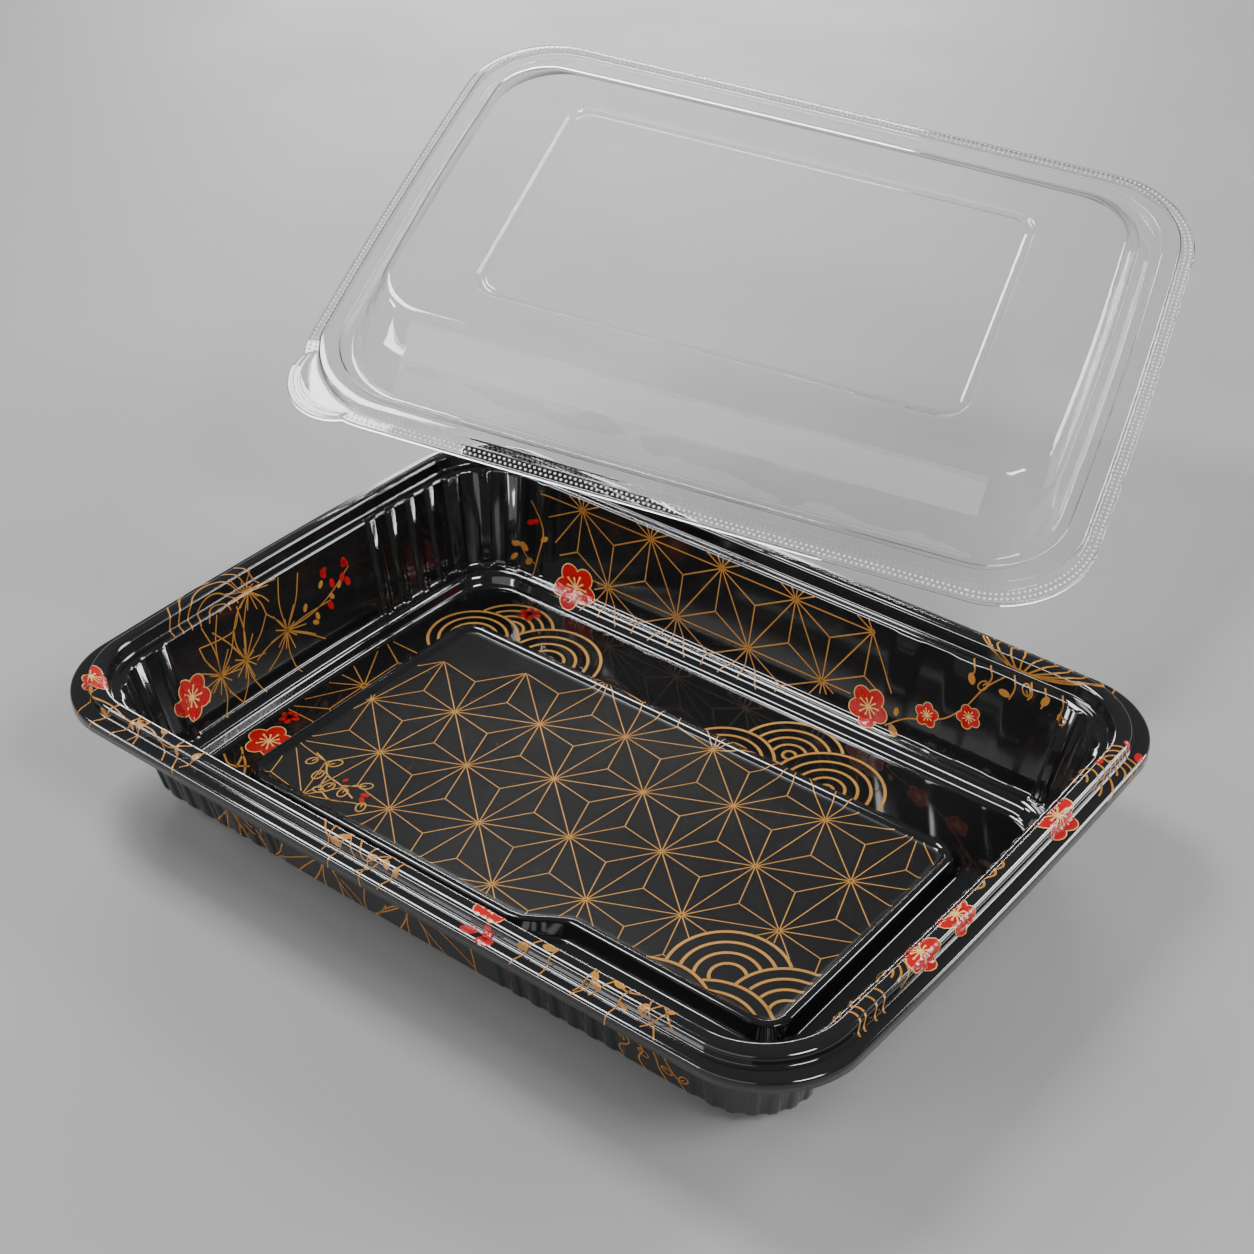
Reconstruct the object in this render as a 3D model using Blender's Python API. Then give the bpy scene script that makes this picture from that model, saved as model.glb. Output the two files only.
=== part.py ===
"""Two-piece sushi box: a black printed tray and its clear lid, lifted off and tilted behind it.

Both pieces are thermoformed sheets. Each is built from closed rings that follow the sheet's
cross-section from the rim inwards, once for the upper face and once for the lower face.
All sizes are in millimetres and are scaled to metres when a mesh is made.
"""
import math

import bmesh
import bpy
from mathutils import Euler, Vector

MM = 0.001

# Tray, outside edge of the rim
TRAY_HALF_LENGTH = 117.5
TRAY_HALF_WIDTH = 85.5
TRAY_CORNER = 24.0
TRAY_SHEET = 0.5
RIM_TOP = 38.6
LEDGE_TOP = RIM_TOP - 4.4
MOAT_TOP = TRAY_SHEET
SIDE_BOW = 0.6
END_BOW = 1.8

# Flutes pressed into the tray's wall
FLUTE_DEPTH = 1.25
FLUTE_WIDTH = 3.4
FLUTE_FLANK = 1.3
FLUTE_ZONES = {
    "right": [(-70.0, 70.0, 6.2)],
    "back": [(-110.0, -82.0, 9.5), (37.0, 110.0, 12.0)],
    "left": [(-70.0, -50.0, 9.5), (27.0, 70.0, 9.5)],
    "front": [(-110.0, -48.0, 6.2), (27.0, 69.0, 6.2), (87.0, 110.0, 6.2)],
}
CORNER_FLUTES = {1: 3, 3: 3, 5: 4, 7: 5}

# Raised floor panel with a rib around it
PANEL_LEFT = -82.0
PANEL_RIGHT = 83.7
PANEL_BACK = 39.8
PANEL_FRONT = -41.6
PANEL_JOG = 5.7
JOG_START = 13.0
JOG_END = 23.0
PANEL_CORNER = 6.5
PANEL_TOP = 3.2
RIB_TOP = 4.4
RIB_WIDTH = 1.3

# Lid, outside edge of the flange
LID_HALF_LENGTH = 118.2
LID_HALF_WIDTH = 86.2
LID_CORNER = 28.0
LID_SHEET = 0.3
LID_DOME = 18.0
TAB_REACH = 4.0
TAB_PLACE = 5.3
WINDOW_HALF_LENGTH = 73.0
WINDOW_HALF_WIDTH = 41.0

# Where the lid is held: centre of its flange and its turn, as the photograph shows it
LID_PLACE = (-59.2, 147.0, 73.7)
LID_TURN = (19.25, 5.87, 18.08)

CORNER_STEPS = 8
SIDE_NAMES = {0: "right", 2: "back", 4: "left", 6: "front"}
SIDE_STEPS = {
    0: [0.17, 0.33, 0.5, 0.67, 0.83],
    2: [0.11, 0.22, 0.33, 0.44, 0.56, 0.67, 0.78, 0.89],
    4: [0.17, 0.33, 0.5, 0.67, 0.83],
    6: [0.12, 0.25, 0.38, 0.5, 0.575, 0.595, 0.61, 0.63, 0.65, 0.78, 0.89],
}


def plain_stations():
    """Places around a ring, as part number plus fraction: even parts are sides, odd are corners."""
    places = []
    for part in range(8):
        if part % 2:
            places += [part + step / CORNER_STEPS for step in range(CORNER_STEPS + 1)]
        else:
            places += [part + fraction for fraction in SIDE_STEPS[part]]
    return [min(place, part_end(place)) for place in places]


def part_end(place):
    """Keep the end of a corner inside its own part."""
    part = int(round(place)) if abs(place - round(place)) < 1e-9 else int(place)
    if abs(place - round(place)) < 1e-9 and part % 2 == 0 and place > 0:
        return place - 1e-6
    return place


def point_at(place, half_x, half_y, radius, centre=(0.0, 0.0)):
    """Point on a rounded rectangle, with the outward direction there."""
    part = int(place)
    fraction = place - part
    straight_x = half_x - radius
    straight_y = half_y - radius
    if part == 0:
        spot, out = (half_x, straight_y * (2 * fraction - 1)), (1.0, 0.0)
    elif part == 2:
        spot, out = (straight_x * (1 - 2 * fraction), half_y), (0.0, 1.0)
    elif part == 4:
        spot, out = (-half_x, straight_y * (1 - 2 * fraction)), (-1.0, 0.0)
    elif part == 6:
        spot, out = (straight_x * (2 * fraction - 1), -half_y), (0.0, -1.0)
    else:
        angle = math.radians(90 * (part - 1) / 2 + 90 * fraction)
        out = (math.cos(angle), math.sin(angle))
        sign_x = 1 if part in (1, 7) else -1
        sign_y = 1 if part in (1, 3) else -1
        spot = (sign_x * straight_x + radius * out[0], sign_y * straight_y + radius * out[1])
    return spot[0] + centre[0], spot[1] + centre[1], out


def bowed(x, y, half_x, half_y, side_bow, end_bow):
    """Push the middle of each side outwards a little, as formed sheet does."""
    along_x = max(0.0, 1 - (x / half_x) ** 2)
    along_y = max(0.0, 1 - (y / half_y) ** 2)
    near_x = min(1.0, abs(x) / half_x) ** 6
    near_y = min(1.0, abs(y) / half_y) ** 6
    x += math.copysign(end_bow * along_y * near_x, x)
    y += math.copysign(side_bow * along_x * near_y, y)
    return x, y


def flute_edges(start, end, count):
    """Corner points of the flutes between two places on a side: (place, how deep)."""
    pitch = (end - start) / count
    width = min(0.5 * pitch, FLUTE_WIDTH)
    flank = min(0.16 * pitch, FLUTE_FLANK)
    inner, outer = (width - flank) / 2, (width + flank) / 2
    edges = []
    for number in range(count):
        middle = start + (number + 0.5) * pitch
        edges += [(middle - outer, 0.0), (middle - inner, 1.0)]
        edges += [(middle + inner, 1.0), (middle + outer, 0.0)]
    return edges


def fluted_stations(half_x, half_y, radius):
    """Places around the wall with the depth of the flute at each."""
    places = []
    for part in range(8):
        if part % 2:
            length = radius * math.pi / 2
            edges = flute_edges(0.0, length, CORNER_FLUTES[part])
            corners = [(edge / length, deep) for edge, deep in edges]
            places += [(part, 0.0)] + [(part + edge, deep) for edge, deep in corners]
            continue
        straight = half_y - radius if part in (0, 4) else half_x - radius
        turn = -1 if part in (2, 4) else 1
        marks, covered = [], []
        for low, high, pitch in FLUTE_ZONES[SIDE_NAMES[part]]:
            low, high = max(low, -straight), min(high, straight)
            marks += flute_edges(low, high, max(1, round((high - low) / pitch)))
            covered.append((low, high))
        for step in range(1, 12):
            spot = straight * (step / 6 - 1)
            if not any(a - 2 < spot < b + 2 for a, b in covered):
                marks.append((spot, 0.0))
        found = sorted((0.5 + turn * spot / straight / 2, deep) for spot, deep in marks)
        places += [(part + fraction, deep) for fraction, deep in found]
    return places


def offset_profile(profile, sheet):
    """Lower face of the sheet: the profile moved by the sheet's thickness, mitred at each bend."""
    moved = []
    for index, (x, z) in enumerate(profile):
        before = profile[max(index - 1, 0)]
        after = profile[min(index + 1, len(profile) - 1)]
        first = Vector((x - before[0], z - before[1]))
        second = Vector((after[0] - x, after[1] - z))
        first = first if first.length > 0 else second
        second = second if second.length > 0 else first
        normal_a = Vector((-first.y, first.x)).normalized()
        normal_b = Vector((-second.y, second.x)).normalized()
        middle = (normal_a + normal_b).normalized()
        reach = sheet / max(0.6, middle.dot(normal_a))
        moved.append((x - middle.x * reach, z - middle.y * reach))
    return moved


# Tray cross-section from the rim's edge inwards: distance in from the edge, and height
TRAY_RIM = [
    (0.0, RIM_TOP - 5.8), (0.0, RIM_TOP - 3.5), (0.7, RIM_TOP - 2.8), (3.1, RIM_TOP - 2.8),
    (3.7, RIM_TOP - 2.2), (3.9, RIM_TOP - 0.7), (4.6, RIM_TOP), (7.4, RIM_TOP),
    (8.1, RIM_TOP - 0.7), (8.4, LEDGE_TOP + 0.7), (9.1, LEDGE_TOP), (10.4, LEDGE_TOP),
]
TRAY_WALL = [(11.0, LEDGE_TOP - 0.5), (16.6, 5.8)]
TRAY_FOOT = [
    (17.8, 4.7), (19.0, 4.5), (20.2, 3.9), (20.9, 2.8), (21.5, 1.2), (22.4, MOAT_TOP),
    (24.0, MOAT_TOP),
]


def tray_corner(inset):
    """Corner radius of the ring that lies this far in from the rim's edge."""
    return TRAY_CORNER - 0.55 * inset


def tray_ring(inset, height, places):
    """One ring of the tray around its centre."""
    half_x = TRAY_HALF_LENGTH - inset
    half_y = TRAY_HALF_WIDTH - inset
    ring = []
    for place, depth in places:
        x, y, out = point_at(place, half_x, half_y, tray_corner(inset))
        x -= out[0] * FLUTE_DEPTH * depth
        y -= out[1] * FLUTE_DEPTH * depth
        x, y = bowed(x, y, half_x, half_y, SIDE_BOW, END_BOW)
        ring.append((place, (x, y, height)))
    return ring


def jog_share(x):
    """1 where the floor panel is wider towards the front, 0 where it isn't, smooth between."""
    step = min(1.0, max(0.0, (x - JOG_START) / (JOG_END - JOG_START)))
    return 1 - step * step * (3 - 2 * step)


def panel_ring(inset, height):
    """One ring around the floor panel, with the jog in its front side."""
    centre = ((PANEL_LEFT + PANEL_RIGHT) / 2, (PANEL_BACK + PANEL_FRONT) / 2)
    half_x = (PANEL_RIGHT - PANEL_LEFT) / 2 - inset
    half_y = (PANEL_BACK - PANEL_FRONT) / 2 - inset
    radius = max(1.5, PANEL_CORNER - inset)
    ring = []
    for place in plain_stations():
        x, y, out = point_at(place, half_x, half_y, radius, centre)
        low = min(1.0, max(0.0, (centre[1] - y) / (half_y - radius)))
        y -= PANEL_JOG * jog_share(x) * low
        ring.append((place, (x, y, height)))
    return ring


def tray_rings(upper):
    """All rings of one face of the tray, from the rim's edge to the floor panel."""
    plain = [(place, 0.0) for place in plain_stations()]
    profile = TRAY_RIM + TRAY_WALL + TRAY_FOOT
    if not upper:
        profile = offset_profile(profile, TRAY_SHEET)
    wall_rows = (len(TRAY_RIM), len(TRAY_RIM) + 1)
    wall_half = (TRAY_HALF_LENGTH - 12.0, TRAY_HALF_WIDTH - 12.0)
    fluted = fluted_stations(*wall_half, tray_corner(12.0))
    rings = []
    for row, (inset, height) in enumerate(profile):
        rings.append(tray_ring(inset, height, fluted if row in wall_rows else plain))
    drop = 0.0 if upper else TRAY_SHEET
    shift = 0.0 if upper else 0.35
    rings.append(panel_ring(-2.4 + shift, MOAT_TOP - drop))
    rings.append(panel_ring(-0.4 + shift, RIB_TOP - 0.5 - drop))
    rings.append(panel_ring(0.1 + shift * 0.6, RIB_TOP - drop))
    rings.append(panel_ring(RIB_WIDTH - shift * 0.6, RIB_TOP - drop))
    rings.append(panel_ring(RIB_WIDTH + 2.1 - shift, PANEL_TOP - drop))
    return rings


def lid_profile():
    """Lid cross-section: inset along the length, inset along the width, height."""
    dome = LID_DOME
    return [
        (0.0, 0.0, -1.3), (0.0, 0.0, -0.5), (0.5, 0.5, 0.0), (3.6, 3.6, 0.0), (4.0, 4.0, 0.5),
        (4.2, 4.2, 2.6), (4.9, 4.9, 3.3), (8.9, 8.9, 3.3), (9.6, 9.6, 2.6), (9.9, 9.9, 0.6),
        (10.5, 10.5, 0.1), (12.2, 12.5, 0.1), (13.0, 13.6, 0.9), (15.9, 21.3, 0.58 * dome),
        (16.6, 22.2, 0.62 * dome), (18.3, 28.8, dome - 2.0), (19.1, 30.7, dome - 0.5),
        (20.3, 32.2, dome),
    ]


def tab_bulge(place):
    """How far the pull tab stands out of the flange near the front left corner."""
    distance = abs(place - TAB_PLACE)
    return TAB_REACH * max(0.0, 1 - (distance / 0.62) ** 2) ** 1.5


def lid_ring(inset_x, inset_y, height, tab):
    """One ring of the lid around its centre."""
    half_x = LID_HALF_LENGTH - inset_x
    half_y = LID_HALF_WIDTH - inset_y
    radius = LID_CORNER - 0.5 * (inset_x + inset_y) / 2
    ring = []
    for place in plain_stations():
        x, y, out = point_at(place, half_x, half_y, radius)
        bulge = tab * tab_bulge(place)
        x, y = x + out[0] * bulge, y + out[1] * bulge
        x, y = bowed(x, y, half_x, half_y, SIDE_BOW, END_BOW)
        ring.append((place, (x, y, height)))
    return ring


def window_ring(grow, height):
    """One ring of the shallow rectangle pressed into the lid's top."""
    half_x = WINDOW_HALF_LENGTH + grow
    half_y = WINDOW_HALF_WIDTH + grow
    ring = []
    for place in plain_stations():
        x, y, out = point_at(place, half_x, half_y, 7.0 + grow)
        ring.append((place, (x, y, height)))
    return ring


def lid_rings(upper):
    """All rings of one face of the lid, from the flange's edge to the middle of its top."""
    sections = lid_profile()
    flat = [(inset_x, height) for inset_x, inset_y, height in sections]
    moved = flat if upper else offset_profile(flat, LID_SHEET)
    rings = []
    for row, (inset_x, inset_y, height) in enumerate(sections):
        shift = moved[row][0] - inset_x
        tab = 1.0 if row < 4 else 0.0
        rings.append(lid_ring(inset_x + shift, inset_y + shift, moved[row][1], tab))
    drop = 0.0 if upper else LID_SHEET
    rings.append(window_ring(1.2, LID_DOME - drop))
    rings.append(window_ring(0.0, LID_DOME - 0.9 - drop))
    rings.append(window_ring(-1.0, LID_DOME - 0.9 - drop))
    rings.append(window_ring(-1.8, LID_DOME - 0.5 - drop))
    return rings


def add_strip(mesh, ring_a, ring_b):
    """Faces between two rings, which may have different numbers of points."""
    if len(ring_a) == len(ring_b):
        for index in range(len(ring_a)):
            after = (index + 1) % len(ring_a)
            mesh.faces.new((ring_a[index][1], ring_a[after][1], ring_b[after][1], ring_b[index][1]))
        return
    turn_a = [place for place, vertex in ring_a] + [ring_a[0][0] + 8]
    turn_b = [place for place, vertex in ring_b] + [ring_b[0][0] + 8]
    a = b = 0
    while a < len(ring_a) or b < len(ring_b):
        here_a, here_b = ring_a[a % len(ring_a)][1], ring_b[b % len(ring_b)][1]
        step_a = b >= len(ring_b) or (a < len(ring_a) and turn_a[a + 1] <= turn_b[b + 1])
        if step_a:
            a += 1
            mesh.faces.new((here_a, ring_a[a % len(ring_a)][1], here_b))
        else:
            b += 1
            mesh.faces.new((here_a, ring_b[b % len(ring_b)][1], here_b))


def make_shell(name, upper_rings, lower_rings):
    """Closed thin-walled solid from the rings of its two faces."""
    mesh = bmesh.new()

    def place_rings(rings):
        return [[(place, mesh.verts.new(Vector(spot) * MM)) for place, spot in ring]
                for ring in rings]

    upper = place_rings(upper_rings)
    lower = place_rings(lower_rings)
    for rings in (upper, lower):
        for ring_a, ring_b in zip(rings, rings[1:]):
            add_strip(mesh, ring_a, ring_b)
        mesh.faces.new([vertex for place, vertex in rings[-1]])
    add_strip(mesh, upper[0], lower[0])
    bmesh.ops.recalc_face_normals(mesh, faces=mesh.faces)
    bmesh.ops.triangulate(mesh, faces=[face for face in mesh.faces if len(face.verts) > 4])
    data = bpy.data.meshes.new(name)
    mesh.to_mesh(data)
    mesh.free()
    data.shade_smooth()
    data.set_sharp_from_angle(angle=math.radians(35))
    shell = bpy.data.objects.new(name, data)
    bpy.context.scene.collection.objects.link(shell)
    return shell


def plastic(name, colour, roughness, alpha=1.0, transmission=0.0):
    """Plain plastic material."""
    material = bpy.data.materials.new(name)
    material.use_nodes = True
    shader = material.node_tree.nodes["Principled BSDF"]
    shader.inputs["Base Color"].default_value = (*colour, 1.0)
    shader.inputs["Roughness"].default_value = roughness
    shader.inputs["Metallic"].default_value = 0.0
    shader.inputs["Alpha"].default_value = alpha
    shader.inputs["Transmission Weight"].default_value = transmission
    return material


def middle_of_footprint(pieces):
    """Centre of the two pieces' common outline on the ground."""
    bpy.context.view_layer.update()
    spots = [piece.matrix_world @ vertex.co for piece in pieces for vertex in piece.data.vertices]
    low_x, high_x = min(s.x for s in spots), max(s.x for s in spots)
    low_y, high_y = min(s.y for s in spots), max(s.y for s in spots)
    return Vector(((low_x + high_x) / 2, (low_y + high_y) / 2, 0.0))


def build():
    for thing in list(bpy.data.objects):
        bpy.data.objects.remove(thing, do_unlink=True)
    box = bpy.data.objects.new("box", None)
    bpy.context.scene.collection.objects.link(box)

    tray = make_shell("tray", tray_rings(True), tray_rings(False))
    tray.data.materials.append(plastic("black tray", (0.012, 0.012, 0.013), 0.16))
    tray.parent = box

    lid = make_shell("lid", lid_rings(True), lid_rings(False))
    lid.data.materials.append(plastic("clear lid", (0.9, 0.92, 0.93), 0.06, 0.35, 0.9))
    lid.location = Vector(LID_PLACE) * MM
    lid.rotation_euler = Euler([math.radians(turn) for turn in LID_TURN], "XYZ")
    lid.parent = box

    box.location = -middle_of_footprint([tray, lid])


build()
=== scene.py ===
# %% [markdown]
# # A printed sushi box and its clear lid
#
# The real object is two sheets of plastic, each heated and drawn over a mould. One is black, half a
# millimetre thick and printed with gold lines and red blossoms before it is formed. The other is
# clear and thinner, with a raised middle. The box is empty, and the lid is held above it.
#
# A formed sheet has the same few bends all the way round, so both pieces are made the same way here:
# a short cross-section is drawn once, its bends are rounded, and it is swept round a rounded
# rectangle. The print is made of thin strips and fields of colour that lie on the sheet. They stay
# sharp at any distance, which a picture wrapped round the tray would not.

import math

import bpy
import numpy as np
from mathutils import Euler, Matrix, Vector


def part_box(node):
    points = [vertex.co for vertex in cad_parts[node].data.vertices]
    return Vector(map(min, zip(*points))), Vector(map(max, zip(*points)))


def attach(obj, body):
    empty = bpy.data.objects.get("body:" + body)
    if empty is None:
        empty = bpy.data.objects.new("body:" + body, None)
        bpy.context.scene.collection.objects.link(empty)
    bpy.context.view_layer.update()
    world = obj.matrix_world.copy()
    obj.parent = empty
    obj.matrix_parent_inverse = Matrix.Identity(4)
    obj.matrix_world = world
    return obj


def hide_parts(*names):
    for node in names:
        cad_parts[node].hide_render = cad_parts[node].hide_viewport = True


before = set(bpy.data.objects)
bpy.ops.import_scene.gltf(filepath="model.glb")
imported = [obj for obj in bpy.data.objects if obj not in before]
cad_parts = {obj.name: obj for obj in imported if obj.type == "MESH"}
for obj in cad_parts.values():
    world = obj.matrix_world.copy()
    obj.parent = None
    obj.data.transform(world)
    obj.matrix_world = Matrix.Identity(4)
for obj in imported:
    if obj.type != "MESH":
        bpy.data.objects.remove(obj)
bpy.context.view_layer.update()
tray_low, tray_high = [np.array(corner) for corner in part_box("tray")]
TRAY_CENTRE = np.array([(tray_low[0] + tray_high[0]) / 2, (tray_low[1] + tray_high[1]) / 2, 0.0])
MM = 0.001
print("tray centre in the frame, mm:", np.round(TRAY_CENTRE / MM, 1))

# %% [markdown]
# ## The camera
#
# The photograph looks down on the box from its front right. The place of the camera was worked out
# from the rim, the foot and the printed stars, so the view is set as a position and a direction
# instead of being moved by eye. A long lens keeps the sides nearly parallel.

# %% Camera at the photograph's angle
CAMERA_PLACE = np.array([280.85, -345.31, 366.23]) * MM
CAMERA_TARGET = np.array([-47.40, 70.18, 0.0]) * MM
LENS_MM = 63.16
SENSOR_MM = 36.0

camera_data = bpy.data.cameras.new("camera")
camera_data.lens = LENS_MM
camera_data.sensor_width = SENSOR_MM
camera = bpy.data.objects.new("camera", camera_data)
bpy.context.scene.collection.objects.link(camera)
camera.location = Vector(CAMERA_PLACE + TRAY_CENTRE)
looking = Vector(CAMERA_TARGET - CAMERA_PLACE)
camera.rotation_euler = looking.to_track_quat("-Z", "Y").to_euler()
bpy.context.scene.camera = camera
print("camera looks down", round(math.degrees(math.asin(-looking.z / looking.length)), 1), "degrees")

# %% [markdown]
# ## Rounding a cross-section
#
# A mould has no sharp bends, because the sheet would tear over them. Each bend of the cross-section
# is given a radius, and a short curve replaces its corner. The curve is a quadratic Bezier through
# the corner, which needs no angle and works for any two straight runs.

# %% Cross-sections with rounded bends
BEND_STEPS = 5
BEND_LIMIT = 0.48  # the largest share of a straight run that one bend may take


def rounded(corners):
    """Points along a section. Each corner is a tuple of coordinates with its bend radius last."""
    spots = [np.array(corner[:-1], float) for corner in corners]
    path = [spots[0]]
    for index in range(1, len(spots) - 1):
        here, radius = spots[index], corners[index][-1]
        back, ahead = spots[index - 1] - here, spots[index + 1] - here
        back_length, ahead_length = np.linalg.norm(back), np.linalg.norm(ahead)
        reach = min(radius, BEND_LIMIT * back_length, BEND_LIMIT * ahead_length)
        start = here + back / back_length * reach
        end = here + ahead / ahead_length * reach
        for step in np.linspace(0, 1, BEND_STEPS):
            path.append((1 - step) ** 2 * start + 2 * step * (1 - step) * here + step ** 2 * end)
    path.append(spots[-1])
    return np.array(path)


def section_normals(path):
    """Direction across the sheet at each point of a section of (inset, height)."""
    along = np.gradient(path, axis=0)
    along /= np.linalg.norm(along, axis=1)[:, None]
    return np.column_stack([-along[:, 1], along[:, 0]])


# %% [markdown]
# ## Going round the tray
#
# Every ring of the tray is a rounded rectangle. A place on it is one number from 0 to 8: even parts
# are the four sides and odd parts the four corners. The same number on every ring gives points
# that lie above each other, so the rings can be joined with plain quads, and the print can use
# the same number to find its spot on the wall.

# %% Rings
RIGHT, BACK, LEFT, FRONT = 0, 2, 4, 6


def outline(place, half_x, half_y, radius):
    """Points on a rounded rectangle and the outward direction at each."""
    place = np.mod(place, 8.0)
    part = np.floor(place).astype(int)
    along = place - part
    run_x, run_y = half_x - radius, half_y - radius
    angle = np.pi / 2 * ((part - 1) / 2 + along)
    side = [part == RIGHT, part == BACK, part == LEFT, part == FRONT]
    out_x = np.select(side, [1.0, 0.0, -1.0, 0.0], np.cos(angle))
    out_y = np.select(side, [0.0, 1.0, 0.0, -1.0], np.sin(angle))
    sign_x = np.where(np.isin(part, (1, 7)), 1.0, -1.0)
    sign_y = np.where(np.isin(part, (1, 3)), 1.0, -1.0)
    x = np.select(side, [half_x, run_x * (1 - 2 * along), -half_x, run_x * (2 * along - 1)],
                  sign_x * run_x + radius * out_x)
    y = np.select(side, [run_y * (2 * along - 1), half_y, run_y * (1 - 2 * along), -half_y],
                  sign_y * run_y + radius * out_y)
    return x, y, out_x, out_y


def bowed(x, y, half_x, half_y):
    """The middle of each side stands out a little, as formed sheet does."""
    along_x = np.maximum(0, 1 - (x / half_x) ** 2)
    along_y = np.maximum(0, 1 - (y / half_y) ** 2)
    near_x = np.minimum(1, np.abs(x) / half_x) ** BOW_FADE
    near_y = np.minimum(1, np.abs(y) / half_y) ** BOW_FADE
    return (x + np.sign(x) * END_BOW * along_y * near_x,
            y + np.sign(y) * SIDE_BOW * along_x * near_y)


def smooth_step(value):
    """0 below 0, 1 above 1 and a soft step between them."""
    value = np.clip(value, 0.0, 1.0)
    return value * value * (3 - 2 * value)


# %% [markdown]
# ## The tray's sizes
#
# From outside in, the sheet makes a short lip, a flange that the lid sits on, a raised rim,
# a ledge, the fluted wall, a bead at its foot, the flat floor and a raised panel with a rib
# round it. Heights are measured from the table.

# %% Tray sizes in millimetres
TRAY_HALF_LENGTH = 117.5
TRAY_HALF_WIDTH = 85.5
TRAY_CORNER = 24.0
CORNER_SHRINK = 0.55  # how much of the inset the corner's radius loses
TRAY_SHEET = 0.5
RIM_TOP = 38.6
LEDGE_TOP = RIM_TOP - 4.4
SIDE_BOW = 0.6
END_BOW = 1.8
BOW_FADE = 6
FLOOR_TOP = TRAY_SHEET

tray_corners = [
    (0.0, RIM_TOP - 5.8, 0), (0.0, RIM_TOP - 2.8, 1.1), (3.8, RIM_TOP - 2.8, 0.7),
    (4.1, RIM_TOP, 1.25), (7.9, RIM_TOP, 1.25), (8.5, LEDGE_TOP, 1.0), (10.9, LEDGE_TOP, 1.1),
    (16.8, 5.0, 1.4), (19.9, 4.5, 2.1), (21.8, FLOOR_TOP, 2.1), (24.6, FLOOR_TOP, 0),
]
tray_section = rounded(tray_corners)
tray_normals = section_normals(tray_section)
tray_run = np.r_[0, np.cumsum(np.linalg.norm(np.diff(tray_section, axis=0), axis=1))]
print("the section is", len(tray_section), "points and", round(tray_run[-1], 1), "mm long")

# %% [markdown]
# ## Flutes
#
# Flutes are narrow ridges pressed into the wall to stiffen it. The photograph shows them all along
# the right side and near the corners, and leaves the printed parts of the wall flat. The depth of
# a flute depends only on the place round the wall, and fades out at the ledge and at the bead.

# %% Where the wall is fluted
FLUTE_DEPTH = 1.25
FLUTE_WIDTH, FLUTE_FLANK = 3.4, 1.3
WIDE_PITCH, WIDE_WIDTH, WIDE_FLANK = 12.0, 0.45, 0.18
FLUTED = {
    RIGHT: [(-70.0, 70.0, 6.2)],
    BACK: [(-110.0, -82.0, 9.5), (37.0, 110.0, 19.0)],
    LEFT: [(-70.0, -50.0, 9.5), (27.0, 70.0, 9.5)],
    FRONT: [(-110.0, -48.0, 6.2), (27.0, 69.0, 6.2), (87.0, 110.0, 6.2)],
}
SIDE_STRENGTH = {RIGHT: 0.6, BACK: 0.22, LEFT: 0.7, FRONT: 0.4}
CORNER_FLUTES = {1: (3, 1.0), 3: (3, 1.0), 5: (4, 0.8), 7: (5, 0.45)}
CORNER_RUN = 23.0
FLUTE_TOP, TOP_FADE = LEDGE_TOP - 0.1, 1.6
FLUTE_START, FLUTE_END, END_FADE = 10.0, 18.6, 3.0
PLAIN_STEP, FLUTED_STEP, CORNER_STEPS = 4.0, 0.62, 60


def side_run(side):
    """Half the straight run of a side, and 1 or -1 for the way in which its places count."""
    half = TRAY_HALF_WIDTH if side in (RIGHT, LEFT) else TRAY_HALF_LENGTH
    return half - TRAY_CORNER, 1.0 if side in (RIGHT, FRONT) else -1.0


def ridge(phase, pitch):
    """Height of one ridge between 0 and 1 for a phase that goes from 0 to 1."""
    width, flank = WIDE_WIDTH, WIDE_FLANK
    if pitch <= WIDE_PITCH:
        width, flank = min(0.5, FLUTE_WIDTH / pitch), min(0.16, FLUTE_FLANK / pitch)
    distance = np.abs(phase - 0.5) - width / 2
    return smooth_step(0.5 - distance / flank)


def flute_depth(place):
    """How far the wall is pressed in at each place, between 0 and 1."""
    place = np.mod(place, 8.0)
    part = np.floor(place).astype(int)
    along = place - part
    depth = np.zeros_like(place)
    for corner, (count, strength) in CORNER_FLUTES.items():
        here = part == corner
        depth[here] = strength * ridge(np.mod(along[here] * count, 1.0), CORNER_RUN / count)
    for side, zones in FLUTED.items():
        here = part == side
        run, turn = side_run(side)
        spot = turn * (2 * along - 1) * run
        for low, high, pitch in zones:
            low, high = max(low, -run), min(high, run)
            count = max(1, round((high - low) / pitch))
            phase = (spot - low) / (high - low) * count
            inside = here & (phase >= 0) & (phase <= count)
            pressed = ridge(np.mod(phase[inside], 1.0), (high - low) / count)
            depth[inside] = SIDE_STRENGTH[side] * pressed
    return depth


def flute_share(inset, height):
    """1 on the wall, 0 on the ledge and on the floor, with a short fade at both ends."""
    upper = smooth_step((FLUTE_TOP - height) / TOP_FADE)
    lower = smooth_step((FLUTE_END - inset) / END_FADE)
    return upper * lower * (inset > FLUTE_START)


# %% Points on the tray's sheet
def tray_point(place, inset, height):
    """Points of the tray for places round it and an inset and height from its section."""
    half_x, half_y = TRAY_HALF_LENGTH - inset, TRAY_HALF_WIDTH - inset
    radius = np.maximum(1.0, TRAY_CORNER - CORNER_SHRINK * inset)
    x, y, out_x, out_y = outline(place, half_x, half_y, radius)
    press = FLUTE_DEPTH * flute_depth(place) * flute_share(inset, height)
    x, y = bowed(x - out_x * press, y - out_y * press, half_x, half_y)
    return np.stack([x, y, np.broadcast_to(height, x.shape)], axis=-1)


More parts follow.
